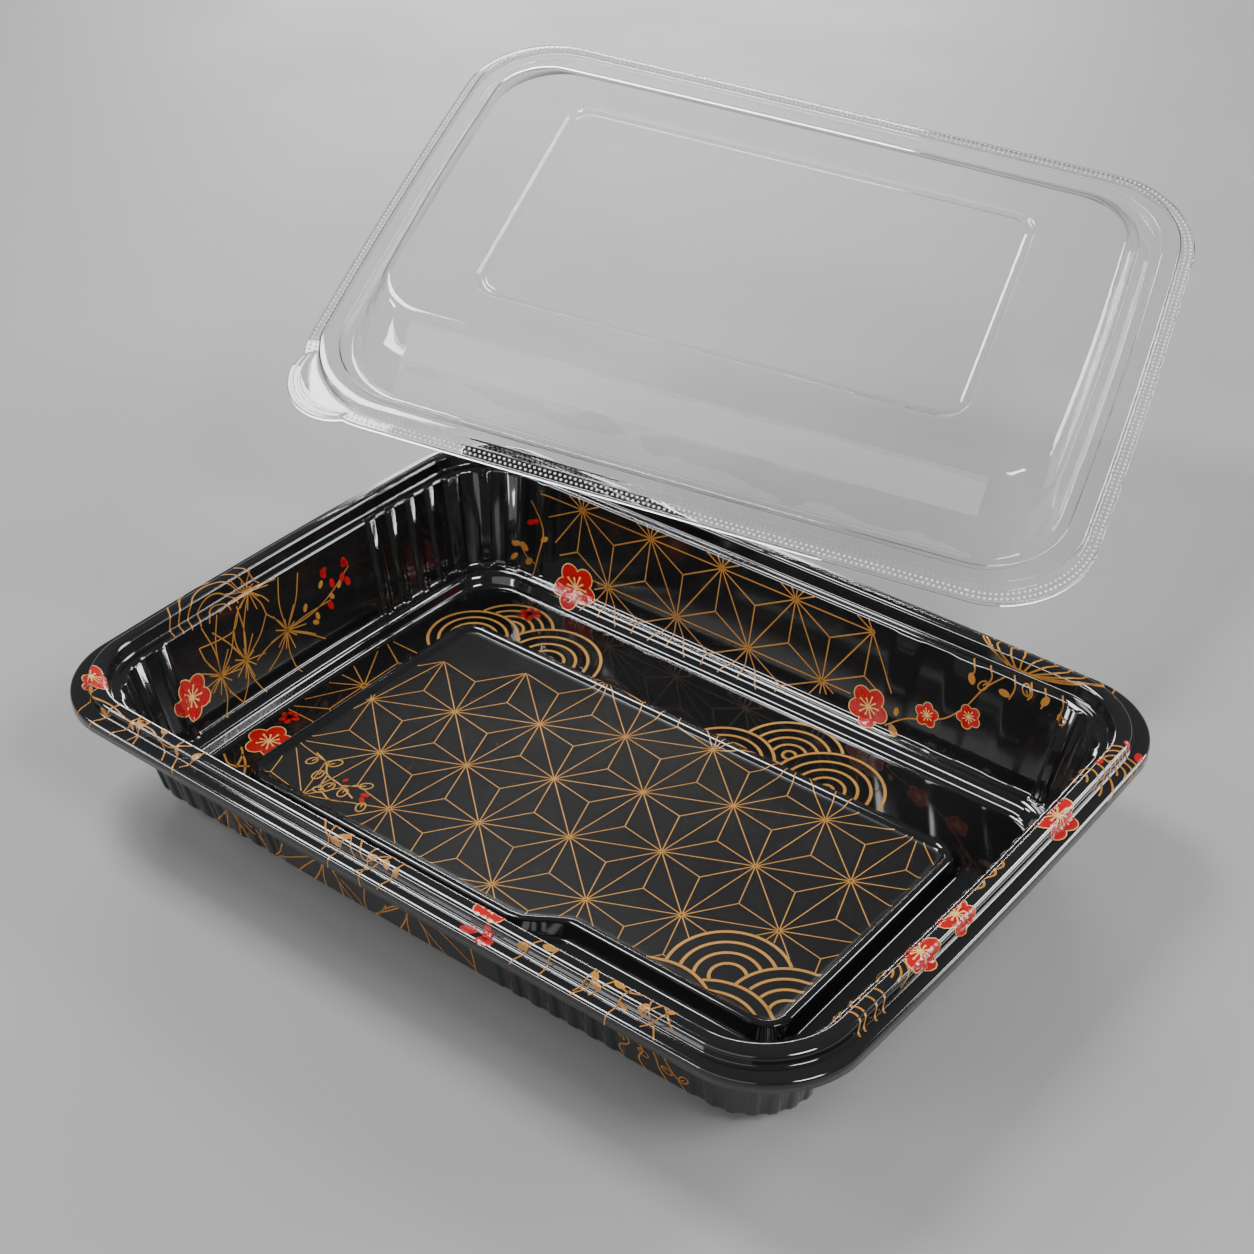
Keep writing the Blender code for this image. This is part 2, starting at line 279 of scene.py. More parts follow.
def stations():
    """Places round a ring, close together where a side is fluted."""
    places = []
    for part in range(8):
        if part not in FLUTED:
            places.append(part + np.arange(CORNER_STEPS) / CORNER_STEPS)
            continue
        run, turn = side_run(part)
        spots = list(np.arange(-run, run, PLAIN_STEP))
        for low, high, pitch in FLUTED[part]:
            spots += list(np.arange(max(low, -run), min(high, run), FLUTED_STEP))
        shares = np.unique(np.round((turn * np.array(spots) / run + 1) / 2, 5))
        places.append(part + np.clip(shares, 0, 0.9999))
    return np.concatenate(places)


tray_places = stations()
print(len(tray_places), "places round the tray")

# %% [markdown]
# ## The floor panel
#
# The middle of the floor is raised and printed. A rib runs round it, a little higher than the
# print, and its front side steps outwards on the left. Its height is a function of the distance
# in from the rib, which the print needs again later, to lie on the rib where it crosses it.

# %% Floor panel
PANEL_LEFT, PANEL_RIGHT = -82.0, 83.7
PANEL_BACK, PANEL_FRONT = 39.8, -41.6
PANEL_JOG = 7.3
JOG_START, JOG_END = 10.0, 25.0
PANEL_CORNER = 6.5
PANEL_TOP = 3.2
RIB_TOP = 4.4
SATIN_INSET = 2.4

panel_section = rounded([
    (-4.6, FLOOR_TOP, 0), (-2.5, FLOOR_TOP, 0.7), (-0.5, RIB_TOP, 0.7), (1.3, RIB_TOP, 0.6),
    (3.0, PANEL_TOP, 0.9), (5.0, PANEL_TOP, 0),
])
panel_middle = (PANEL_LEFT + PANEL_RIGHT) / 2, (PANEL_BACK + PANEL_FRONT) / 2
panel_half = (PANEL_RIGHT - PANEL_LEFT) / 2, (PANEL_BACK - PANEL_FRONT) / 2


def jog_share(x):
    """1 where the panel is wider towards the front, 0 where it isn't."""
    return 1 - smooth_step((x - JOG_START) / (JOG_END - JOG_START))


def panel_point(place, inset, height):
    """Points of the panel for places round it."""
    half_x, half_y = panel_half[0] - inset, panel_half[1] - inset
    radius = np.maximum(1.5, PANEL_CORNER - inset)
    x, y, out_x, out_y = outline(place, half_x, half_y, radius)
    x, y = x + panel_middle[0], y + panel_middle[1]
    low = np.clip((panel_middle[1] - y) / (half_y - radius), 0, 1)
    y = y - PANEL_JOG * jog_share(x) * low
    return np.stack([x, y, np.broadcast_to(height, x.shape)], axis=-1)


def without_jog(x, y):
    """Where y would lie on a panel whose front side were straight."""
    low = np.clip((panel_middle[1] - y) / (panel_half[1] - PANEL_CORNER), 0, 1)
    return y + PANEL_JOG * jog_share(x) * low


def floor_height(x, y):
    """Height of the floor or panel under a point."""
    beyond_x = np.abs(x - panel_middle[0]) - (panel_half[0] - PANEL_CORNER)
    beyond_y = np.abs(without_jog(x, y) - panel_middle[1]) - (panel_half[1] - PANEL_CORNER)
    round_corner = np.hypot(np.maximum(beyond_x, 0), np.maximum(beyond_y, 0))
    inset = PANEL_CORNER - round_corner - np.minimum(np.maximum(beyond_x, beyond_y), 0)
    return np.interp(inset, panel_section[:, 0], panel_section[:, 1])


# %% [markdown]
# ## From rings to a closed sheet
#
# The upper and the lower face of a sheet have the same rings, one thickness apart. They are joined
# along the rim's edge, so the tray is one closed solid, as a real sheet is. Building the faces
# from arrays is far quicker than adding them one at a time.

# %% Sheet builder
def link(name, mesh, materials, smooth=True):
    """Object for a mesh whose points are already in the frame, riding on the one body."""
    thing = bpy.data.objects.new(name, mesh)
    bpy.context.scene.collection.objects.link(thing)
    for material in materials:
        mesh.materials.append(material)
    if smooth:
        mesh.shade_smooth()
    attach(thing, "root")
    return thing


def make_mesh(name, points, faces):
    """Mesh from points in millimetres round the tray's centre."""
    mesh = bpy.data.meshes.new(name)
    mesh.from_pydata((np.asarray(points) * MM + TRAY_CENTRE).tolist(), [], faces)
    mesh.update()
    return mesh


def sheet_faces(rows, count, start, flip):
    """Quads between neighbouring rings of one face of a sheet."""
    row, spot = np.meshgrid(np.arange(rows - 1), np.arange(count), indexing="ij")
    after = (spot + 1) % count
    a, b = start + row * count + spot, start + row * count + after
    c, d = b + count, a + count
    quads = np.stack([a, b, c, d], axis=-1).reshape(-1, 4)
    return (quads[:, ::-1] if flip else quads).tolist()


def sheet_mesh(name, upper, lower):
    """Closed mesh from the rings of the two faces, arrays of (row, place, xyz)."""
    rows, count = upper.shape[:2]
    total = rows * count
    faces = sheet_faces(rows, count, 0, False) + sheet_faces(rows, count, total, True)
    edge = np.arange(count)
    after = (edge + 1) % count
    faces += np.stack([edge, edge + total, after + total, after], axis=-1).tolist()
    last = (rows - 1) * count
    faces.append((last + edge).tolist())
    faces.append((total + last + edge[::-1]).tolist())
    points = np.concatenate([upper.reshape(-1, 3), lower.reshape(-1, 3)])
    return make_mesh(name, points, faces)


# %% Tray sheet
def tray_rings(side):
    """Rings of the upper (side 0) or lower (side -1) face of the tray."""
    path = tray_section + side * TRAY_SHEET * tray_normals
    rings = [tray_point(tray_places, inset, height) for inset, height in path]
    path = panel_section + side * TRAY_SHEET * section_normals(panel_section)
    rings += [panel_point(tray_places, inset, height) for inset, height in path]
    return np.array(rings)


tray_mesh = sheet_mesh("tray_sheet", tray_rings(0), tray_rings(-1))
satin_row = len(tray_section) + int(np.argmax(panel_section[:, 0] > SATIN_INSET))
satin_start = satin_row * len(tray_places)
satin_end = (len(tray_section) + len(panel_section)) * len(tray_places)
for face in tray_mesh.polygons:
    is_satin = min(face.vertices) >= satin_start and max(face.vertices) < satin_end
    face.material_index = int(is_satin)
print("tray:", len(tray_mesh.polygons), "faces")

# %% [markdown]
# ## The lid's sizes
#
# The lid's flange has two rows of small knobs for grip. Then comes the bead that snaps over
# the tray's rim, a groove, the sloped side with one faint step, a rounded edge and the flat
# top. A shallow rectangle is pressed into the top to stiffen it. A pull tab sticks out of the
# flange at one corner. The lid's sizes are given in its own flat frame, then turned and lifted.

# %% Lid sizes in millimetres
LID_HALF_LENGTH = 118.2
LID_HALF_WIDTH = 86.2
LID_CORNER = 28.0
LID_SHRINK = 0.25
LID_SHEET = 0.3
LID_DOME = 18.0
TAB_REACH = 6.5
TAB_PLACE = 5.53
TAB_SPREAD = 0.33
TAB_ROOT, TAB_FADE = 4.0, 0.6
WINDOW_HALF_LENGTH = 73.0
WINDOW_HALF_WIDTH = 41.0
WINDOW_CORNER = 7.0
LID_STEPS = [26, 30, 36, 30, 26, 72, 36, 30]
LID_PLACE = (-59.2, 147.0, 73.7)
LID_TURN = (19.25, 5.87, 18.08)

lid_section = rounded([
    (0.0, 0.0, -1.3, 0), (0.0, 0.0, 0.0, 0.45), (3.9, 3.9, 0.0, 0.45), (4.2, 4.2, 3.3, 0.8),
    (9.5, 9.5, 3.3, 0.8), (10.0, 10.0, 0.1, 0.5), (12.6, 13.0, 0.1, 0.6),
    (15.6, 20.7, 0.54 * LID_DOME, 0.8), (16.6, 22.2, 0.62 * LID_DOME, 0.8),
    (18.9, 30.4, LID_DOME, 2.2), (24.0, 36.0, LID_DOME, 0),
])
window_section = rounded([
    (-3.0, LID_DOME, 0), (-1.2, LID_DOME, 0.5), (-0.4, LID_DOME - 0.9, 0.4),
    (0.9, LID_DOME - 0.9, 0.4), (1.8, LID_DOME - 0.4, 0.6), (5.0, LID_DOME - 0.4, 0),
])
lid_turn = np.array(Euler([math.radians(turn) for turn in LID_TURN], "XYZ").to_matrix())
lid_places = np.concatenate([part + np.arange(steps) / steps
                             for part, steps in enumerate(LID_STEPS)])
print(len(lid_places), "places round the lid")


# %% Lid sheet
def lid_to_frame(points):
    """From the lid's own flat frame to the frame around the tray's centre."""
    return points @ lid_turn.T + np.array(LID_PLACE)


def lid_point(place, inset_x, inset_y, height):
    """Points of the lid for places round it, before it is turned and lifted."""
    half_x, half_y = LID_HALF_LENGTH - inset_x, LID_HALF_WIDTH - inset_y
    radius = LID_CORNER - LID_SHRINK * (inset_x + inset_y)
    x, y, out_x, out_y = outline(place, half_x, half_y, radius)
    near = np.maximum(0, 1 - (np.abs(place - TAB_PLACE) / TAB_SPREAD) ** 2)
    bulge = TAB_REACH * near * smooth_step((TAB_ROOT - inset_x) / TAB_FADE)
    x, y = bowed(x + out_x * bulge, y + out_y * bulge, half_x, half_y)
    return np.stack([x, y, np.broadcast_to(height, x.shape)], axis=-1)


def lid_rings(side):
    """Rings of the upper (side 0) or lower (side -1) face of the lid."""
    across = section_normals(lid_section[:, [0, 2]])
    rings = []
    for (inset_x, inset_y, height), (shift, lift) in zip(lid_section, side * LID_SHEET * across):
        rings.append(lid_point(lid_places, inset_x + shift, inset_y + shift, height + lift))
    for inset, height in window_section + side * LID_SHEET * section_normals(window_section):
        x, y, out_x, out_y = outline(lid_places, WINDOW_HALF_LENGTH - inset,
                                     WINDOW_HALF_WIDTH - inset, WINDOW_CORNER - inset)
        rings.append(np.stack([x, y, np.full_like(x, height)], axis=-1))
    return lid_to_frame(np.array(rings))


lid_mesh = sheet_mesh("lid_sheet", lid_rings(0), lid_rings(-1))
print("lid:", len(lid_mesh.polygons), "faces")

# %% [markdown]
# ## Knobs on the flange
#
# The two rows of knobs are small domes. They are so small that eight points round and two rings
# up are enough, and all of them go into one mesh. They leave out the pull tab, which has two
# ridges that follow its round edge instead.

# %% Knobs
KNOB_RADIUS = 0.42
KNOB_HEIGHT = 0.38
KNOB_PITCH = 1.55
KNOB_ROWS = 1.25, 2.75
KNOB_SIDES = 8
KNOB_RINGS = (1.0, -0.02), (0.72, 0.7), (0.3, 1.0)


def even_places(inset, pitch):
    """Places round the lid that lie a pitch apart along the flange."""
    fine = np.linspace(0, 8, 4001)
    spots = lid_point(fine, inset, inset, 0.0)
    length = np.r_[0, np.cumsum(np.linalg.norm(np.diff(spots, axis=0), axis=1))]
    return np.interp(np.arange(0, length[-1] - pitch / 2, pitch), length, fine)


def knob(centre, start):
    """Points and faces of one low dome with a flat closed base."""
    angles = np.arange(KNOB_SIDES) * math.tau / KNOB_SIDES
    circle = np.stack([np.cos(angles), np.sin(angles), np.zeros(KNOB_SIDES)], axis=-1)
    points = [centre + circle * KNOB_RADIUS * share + (0, 0, KNOB_HEIGHT * height)
              for share, height in KNOB_RINGS]
    low, middle, top = [[start + row * KNOB_SIDES + side for side in range(KNOB_SIDES)]
                        for row in range(len(KNOB_RINGS))]
    faces = [(under[side], under[side - KNOB_SIDES + 1], over[side - KNOB_SIDES + 1], over[side])
             for under, over in ((low, middle), (middle, top)) for side in range(KNOB_SIDES)]
    return np.concatenate(points), faces + [tuple(top), tuple(reversed(low))]


knob_points, knob_faces = [], []
for row, inset in enumerate(KNOB_ROWS):
    places = even_places(inset, KNOB_PITCH)
    places = np.mod(places + row * 0.5 * (places[1] - places[0]), 8)
    places = places[np.abs(places - TAB_PLACE) > TAB_SPREAD]
    for centre in lid_point(places, inset, inset, 0.0):
        points, faces = knob(centre, KNOB_SIDES * len(KNOB_RINGS) * len(knob_points))
        knob_points.append(points)
        knob_faces += faces
knob_mesh = make_mesh("lid_knobs", lid_to_frame(np.concatenate(knob_points)), knob_faces)
print(len(knob_points), "knobs")

# %% Ridges on the pull tab
TAB_RIDGES = 1.3, 3.0
RIDGE_STEPS = 48
RIDGE_PROFILE = [(-0.45, -0.02), (-0.28, 0.26), (0.0, 0.36), (0.28, 0.26), (0.45, -0.02)]


def tab_ridge(inset, start):
    """Points and faces of one closed ridge along the tab."""
    reach = 0.9 * TAB_SPREAD
    places = np.linspace(TAB_PLACE - reach, TAB_PLACE + reach, RIDGE_STEPS)
    rows = [lid_point(places, inset + shift, inset + shift, height)
            for shift, height in RIDGE_PROFILE]
    index = start + np.arange(len(rows) * RIDGE_STEPS).reshape(len(rows), RIDGE_STEPS)
    after = np.roll(index, -1, axis=0)
    faces = np.stack([index[:, :-1], index[:, 1:], after[:, 1:], after[:, :-1]], axis=-1)
    ends = [index[::-1, 0].tolist(), index[:, -1].tolist()]
    return np.concatenate(rows), faces.reshape(-1, 4).tolist() + ends


ridge_points, ridge_faces = [], []
for inset in TAB_RIDGES:
    points, faces = tab_ridge(inset, sum(len(part) for part in ridge_points))
    ridge_points.append(points)
    ridge_faces += faces
ridge_mesh = make_mesh("lid_tab_ridges", lid_to_frame(np.concatenate(ridge_points)), ridge_faces)
print(len(ridge_faces), "faces in the tab's ridges")

# %% [markdown]
# ## Where the print lies
#
# The print is drawn in flat coordinates, in millimetres, and then laid on the sheet. On the floor
# these are simply x and y. On a wall they are the distance along the side and the distance down
# the sheet from the wall's top, so a negative distance lies on the ledge and the rim. A drawing
# that runs over a bend follows it, as real print on formed sheet does.

# %% Laying flat drawings on the sheet
wall_corner = tray_corners[6][:2]
WALL_START = tray_run[np.argmin(np.linalg.norm(tray_section - wall_corner, axis=1))]


def on_floor(flat, lift):
    """Points above the floor or the panel for flat points (x, y)."""
    return np.column_stack([flat, floor_height(flat[:, 0], flat[:, 1]) + lift])


def side_place(side, spot, inset):
    """Place on the ring for a distance along a side, going on into the corners."""
    half = np.where(side in (RIGHT, LEFT), TRAY_HALF_WIDTH, TRAY_HALF_LENGTH)
    radius = np.maximum(1.0, TRAY_CORNER - CORNER_SHRINK * inset)
    run = half - inset - radius
    quarter = np.pi / 2 * radius
    spot = spot if side in (RIGHT, FRONT) else -spot
    after = 1 + (spot - run) / quarter
    before = (spot + run) / quarter
    middle = (spot / run + 1) / 2
    return side + np.where(spot > run, after, np.where(spot < -run, before, middle))


def on_wall(side, outer=False):
    """A function that lays flat points (along, down) on one side of the tray."""
    def lay(flat, lift):
        down = np.clip(flat[:, 1] + WALL_START, 0, tray_run[-1])
        lift = -TRAY_SHEET - lift if outer else lift
        inset = np.interp(down, tray_run, tray_section[:, 0] + lift * tray_normals[:, 0])
        height = np.interp(down, tray_run, tray_section[:, 1] + lift * tray_normals[:, 1])
        return tray_point(side_place(side, flat[:, 0], inset), inset, height)
    return lay


print("the wall starts", round(WALL_START, 1), "mm from the rim's edge")

# %% [markdown]
# ## Lines and fields of ink
#
# A line is cut into pieces shorter than a millimetre, so it bends with the sheet. A mask drops
# the pieces that another drawing hides: in real print the nearer fan or blossom is printed and
# the pattern behind it stops at its edge. Everything of one ink goes into one mesh.

# %% Ink layers
INKS = "gold", "wall_gold", "red", "deep_red", "pale"
layers = {ink: ([], []) for ink in INKS}
LINE_STEP = 0.8
SHORTEST_LINE = 1e-6
INK_LIFT, LEAF_LIFT = 0.05, 0.06
FIELD_RINGS = 0.35, 0.7, 1.0


def direction(angle):
    """Flat direction of an angle, or of several."""
    return np.stack([np.cos(angle), np.sin(angle)], axis=-1)


def ellipse(angles, long, wide, turn):
    """Flat points of a turned ellipse round the origin."""
    turned = np.array([direction(turn), direction(turn + np.pi / 2)])
    return direction(angles) * (long, wide) @ turned


def add_piece(ink, points, faces):
    """Points and faces added to the mesh of one ink."""
    spots, corners = layers[ink]
    start = sum(len(part) for part in spots)
    spots.append(points)
    corners.extend([tuple(start + index for index in face) for face in faces])


def draw(ink, lines, width, lay, keep=None, lift=INK_LIFT):
    """Strips of ink along straight lines given as rows of (x0, y0, x1, y1)."""
    lines = np.asarray(lines, float).reshape(-1, 4)
    ahead = lines[:, 2:] - lines[:, :2]
    length = np.linalg.norm(ahead, axis=1)
    real = length > SHORTEST_LINE
    lines, ahead, length = lines[real], ahead[real], length[real]
    pieces = np.maximum(1, np.ceil(length / LINE_STEP).astype(int))
    which = np.repeat(np.arange(len(lines)), pieces)
    step = np.arange(len(which)) - np.repeat(np.cumsum(pieces) - pieces, pieces)
    start = lines[which, :2] + ahead[which] * (step / pieces[which])[:, None]
    end = lines[which, :2] + ahead[which] * ((step + 1) / pieces[which])[:, None]
    if keep is not None:
        seen = keep((start + end) / 2)
        start, end, which = start[seen], end[seen], which[seen]
    across = ahead[which] / length[which][:, None] @ np.array([[0.0, 1.0], [-1.0, 0.0]])
    across = across * width / 2
    flat = np.stack([start - across, end - across, end + across, start + across], axis=1)
    if len(flat):
        faces = np.arange(4 * len(flat)).reshape(-1, 4).tolist()
        add_piece(ink, lay(flat.reshape(-1, 2), lift), faces)


def field(ink, centre, long, wide, turn, lay, lift=INK_LIFT, sides=18):
    """A filled ellipse of ink, in rings so that it follows the sheet."""
    rim = ellipse(np.arange(sides) * math.tau / sides, long, wide, turn)
    flat = np.concatenate([np.zeros((1, 2))] + [rim * share for share in FIELD_RINGS]) + centre
    spot = np.arange(sides)
    after = (spot + 1) % sides
    faces = [(0, 1 + a, 1 + b) for a, b in zip(spot, after)]
    for row in (1, 1 + sides):
        above = row + sides
        faces += [(row + a, above + a, above + b, row + b) for a, b in zip(spot, after)]
    add_piece(ink, lay(flat, lift), faces)


# %% [markdown]
# ## The patterns
#
# Three traditional patterns make up the print. The hemp leaf is a lattice of triangles, with a
# spoke from the middle of each triangle to its corners, so twelve lines meet at every star. The
# waves are fans of rings. The plum blossom has five round petals and a crown of stamens.

# %% Pattern parts
def hemp_leaf(origin, first, second, reach):
    """Lines of the star lattice for whole steps from -reach to reach."""
    first, second = np.array(first, float), np.array(second, float)
    lines = []
    for a in range(-reach, reach + 1):
        for b in range(-reach, reach + 1):
            here = np.array(origin) + a * first + b * second
            there = [here + first, here + second, here + first - second]
            lines += [(*here, *spot) for spot in there]
            for triangle in ((here, there[0], there[1]), (here, there[0], there[2])):
                middle = sum(triangle) / 3
                lines += [(*middle, *corner) for corner in triangle]
    return lines


def curve(*spots, steps=7):
    """Lines along a smooth curve through the spots."""
    spots = np.array(spots, float)
    padded = np.vstack([2 * spots[0] - spots[1], spots, 2 * spots[-1] - spots[-2]])
    share = np.linspace(0, 1, steps, endpoint=False)[:, None]
    path = []
    for a, b, c, d in zip(padded, padded[1:], padded[2:], padded[3:]):
        path.append(0.5 * (2 * b + (c - a) * share + (2 * a - 5 * b + 4 * c - d) * share ** 2
                           + (3 * b - a - 3 * c + d) * share ** 3))
    path = np.vstack(path + [spots[-1:]])
    return np.hstack([path[:-1], path[1:]])


def ring(centre, radius, wide=None, turn=0.0, start=0.0, end=math.tau):
    """Lines along a circle, an ellipse or a part of one."""
    angles = np.linspace(start, end, max(12, int(radius * 5)))
    path = ellipse(angles, radius, radius if wide is None else wide, turn) + centre
    return np.hstack([path[:-1], path[1:]])


def outside(*circles):
    """A mask that is true outside all circles. They start with (x, y, radius)."""
    def keep(spots):
        return np.all([np.hypot(spots[:, 0] - x, spots[:, 1] - y) > radius
                       for x, y, radius, *rest in circles], axis=0)
    return keep


# %% Fans, blossoms and leaves
FAN_LINE = 0.85
PETAL_LIFT, NOTCH_LIFT, EDGE_LIFT, STAMEN_LIFT = 0.055, 0.072, 0.075, 0.085


def fans(circles, shares, lay, keep):
    """Overlapping fans of rings, each given as (x, y, radius). Later ones hide earlier ones."""
    for index, (x, y, radius) in enumerate(circles):
        nearer = outside(*circles[index + 1:])
        for share in shares:
            lines = ring((x, y), radius * share - FAN_LINE / 2)
            draw("gold", lines, FAN_LINE, lay, lambda spots: keep(spots) & nearer(spots))


def blossom(x, y, radius, turn, lay):
    """Plum blossom with five petals, their pale outline and a crown of stamens."""
    centre, angles = np.array([x, y]), turn + np.arange(5) * math.tau / 5
    middles = centre + 0.53 * radius * direction(angles)
    for index, (middle, angle) in enumerate(zip(middles, angles)):
        petal = 0.47 * radius, 0.42 * radius
        field("red", middle, *petal, angle, lay, PETAL_LIFT + 0.003 * index)
        others = [(*spot, 0.40 * radius) for spot in np.delete(middles, index, axis=0)]
        edge = ring(middle, *petal, angle)
        draw("pale", edge, 0.03 * radius + 0.08, lay, outside(*others), EDGE_LIFT)
        notch = centre + 0.5 * radius * direction(angle + 0.628)
        draw("deep_red", [(*centre, *notch)], 0.035 * radius + 0.08, lay, None, NOTCH_LIFT)
    for index in range(10):
        angle = turn + 0.31 + index * math.tau / 10
        tip = centre + radius * (0.48 if index % 2 else 0.36) * direction(angle)
        draw("pale", [(*centre, *tip)], 0.05 * radius + 0.05, lay, None, STAMEN_LIFT)
        field("pale", tip, 0.07 * radius, 0.05 * radius, angle, lay, STAMEN_LIFT + 0.003, 8)
    field("pale", centre, 0.1 * radius, 0.1 * radius, 0, lay, STAMEN_LIFT + 0.005, 10)


def leaf(x, y, length, turn, lay, ink="gold", filled=True):
    """A small leaf or bud. An open one is only its outline."""
    middle = np.array([x, y]) + 0.5 * length * direction(turn)
    if filled:
        field(ink, middle, 0.5 * length, 0.3 * length, turn, lay, LEAF_LIFT, 12)
    else:
        edge = ring(middle, 0.5 * length, 0.32 * length, turn)
        draw(ink, edge, 0.4, lay, None, LEAF_LIFT)
        draw(ink, [(x, y, *middle)], 0.35, lay, None, LEAF_LIFT)


# %% [markdown]
# ## Print on the floor
#
# The star lattice runs slanting over the panel and on over the rib behind it. It stops short of
# the panel's back left corner, and the fans at the front right cover it. Fans stand at the
# back of the sunk floor, where the panel cuts them off, and blossoms lie at its front left.

# %% Panel and floor
PANEL_STARS = (-96.4, 10.8), (21.9, 10.1), (18.3, -15.8)
PANEL_FANS = [(64, -32.5, 16), (82, -34, 15.5), (70, -49, 16), (54, -52, 16)]
BACK_FANS = [(-73, 47.5, 13), (-54.5, 42, 16), (-79, 38, 13.5), (25, 49, 15), (41, 43, 16), (12, 37, 14)]
FLOOR_BLOSSOMS = [(-89.5, -33.5, 6.8, 0.62)]


def panel_inset(spots):
    """Distance in from the rib's outer foot for points of the floor, negative outside it."""
    beyond_x = panel_half[0] - np.abs(spots[:, 0] - panel_middle[0])
    straight = without_jog(spots[:, 0], spots[:, 1])
    return np.minimum(beyond_x, panel_half[1] - np.abs(straight - panel_middle[1]))


def panel_stars_seen(spots):
    x, y = spots[:, 0], spots[:, 1]
    plain_corner = (x < -35) & (y > 31 + 0.46 * (x + 52))
    limit = np.where(x > -34, np.where(x > 55, 2.6, -1.5), 3.0)
    limit = np.where(y < 0, 3.0, limit)
    return (panel_inset(spots) > limit) & ~plain_corner & outside(*PANEL_FANS)(spots)


def moat_stars_seen(spots):
    x, y = spots[:, 0], spots[:, 1]
    near = (x > -95.6) & (x < -84) & (y < 22) & (y > -24)
    return near & outside(*[(bx, by, r) for bx, by, r, turn in FLOOR_BLOSSOMS])(spots)


lattice = hemp_leaf(*PANEL_STARS, 9)
draw("gold", lattice, 0.27, on_floor, panel_stars_seen)
draw("wall_gold", hemp_leaf((-87, 1), (12.0, 21.0), (24.2, 0.3), 2), 0.36, on_floor, moat_stars_seen)
fans(PANEL_FANS, (1.0, 0.77, 0.54, 0.31), on_floor, lambda spots: panel_inset(spots) > 2.4)
fans(BACK_FANS, (1.0, 0.77, 0.55, 0.34, 0.15), on_floor, lambda spots: panel_inset(spots) < -2.2)
for x, y, radius, turn in FLOOR_BLOSSOMS:
    blossom(x, y, radius, turn, on_floor)
print(sum(len(faces) for spots, faces in layers.values()), "faces of print on the floor")

# %% Sprigs on the floor
draw("gold", curve((-73, -31.5), (-68, -33), (-64, -36.5), (-58, -37.5), (-52, -39.5)), 0.5, on_floor)
draw("gold", curve((-64, -36.5), (-62, -41), (-57, -43.5), (-53, -42)), 0.45, on_floor)
draw("gold", curve((-58, -37.5), (-55, -35.5), (-53, -34)), 0.45, on_floor)
for x, y, length, turn in [(-67, -33.5, 4.2, 1.0), (-71, -33, 3.6, 4.4), (-66, -36, 4.0, -1.6),
                           (-60, -38, 4.2, -1.7), (-56, -37.5, 3.8, -1.4), (-54, -35, 3.8, 0.8),
                           (-48.5, -39, 3.8, -1.2), (-60, -42, 3.2, 3.4)]:
    leaf(x, y, length, turn, on_floor, filled=False)
for x, y, length, turn in [(-51.5, -37, 2.6, 0.4), (-50.5, -37.6, 2.4, -0.8), (-59, -36, 1.8, 1.2)]:
    leaf(x, y, length, turn, on_floor, "red")
for turn in (0.3, 1.2, 2.2, 3.1, 4.2, 5.2):
    leaf(-92.8, -22.5, 3.0, turn, on_floor, "red")
    leaf(-73.5, 57, 3.6, turn, on_floor, "red")
for start, end in [((-93.5, -40), (-88, -47)), ((-91, -42), (-84, -48)), ((-95, -45), (-85.5, -44.5))]:
    draw("wall_gold", curve(start, ((start[0] + end[0]) / 2, start[1] - 2.2), end), 0.6, on_floor)

# %% [markdown]
# ## Print on the walls
#
# The back wall carries the same stars in level rows, with blossoms and a branch to their right.
# On the left wall the drawing is looser: its lines waver, because the sheet stretched there.

# %% Back wall
back_wall = on_wall(BACK)
BACK_BLOSSOMS = [(-66, 28, 7.6, 0.3), (36, 25, 6.4, 0.2)]
SMALL_BLOSSOMS = [(53.5, 20, 3.7, 0.9), (65.5, 15.5, 3.6, 0.4)]


def back_stars_seen(spots):
    x, down = spots[:, 0], spots[:, 1]
    left = -80 + 0.55 * (down - 8)
    right = 33.5 + 0.72 * (down - 3.5)
    right = np.where(down > 17.5, 44 - 2.4 * (down - 17.5), right)
    inside = (x > left) & (x < right) & (down > 0.4) & (down < 34)
    return inside & outside(*[(bx, by, 0.93 * r) for bx, by, r, turn in BACK_BLOSSOMS])(spots)


draw("wall_gold", hemp_leaf((-67, 3.5), (25, 0), (12.5, -20), 7), 0.38, back_wall, back_stars_seen)
for x, down, radius, turn in BACK_BLOSSOMS + SMALL_BLOSSOMS:
    blossom(x, down, radius, turn, back_wall)
draw("wall_gold", curve((42, 28), (47, 24), (53, 21.5), (59, 18.5), (64, 13), (68, 6), (73, 0.5)), 0.42, back_wall)
draw("wall_gold", curve((-86, 7), (-82, 11), (-80, 16), (-81, 24), (-82, 30)), 0.42, back_wall)
draw("wall_gold", curve((-88, 22), (-85, 25), (-81, 26)), 0.42, back_wall)
for x, down, length, turn in [(43.5, 27, 4.0, 0.9), (44.5, 24, 2.6, -1.5), (-80.5, 18, 2.8, -0.6),
                              (-85, 23, 3.6, -2.6), (-83, 25, 3.2, 2.4), (-88, 22, 2.8, 3.6),
                              (-88.5, 24.5, 2.6, 2.2)]:
    leaf(x, down, length, turn, back_wall, "wall_gold")
for x, down in [(-84, 13), (-82, 12)]:
    leaf(x, down, 2.8, 2.6, back_wall, "red")

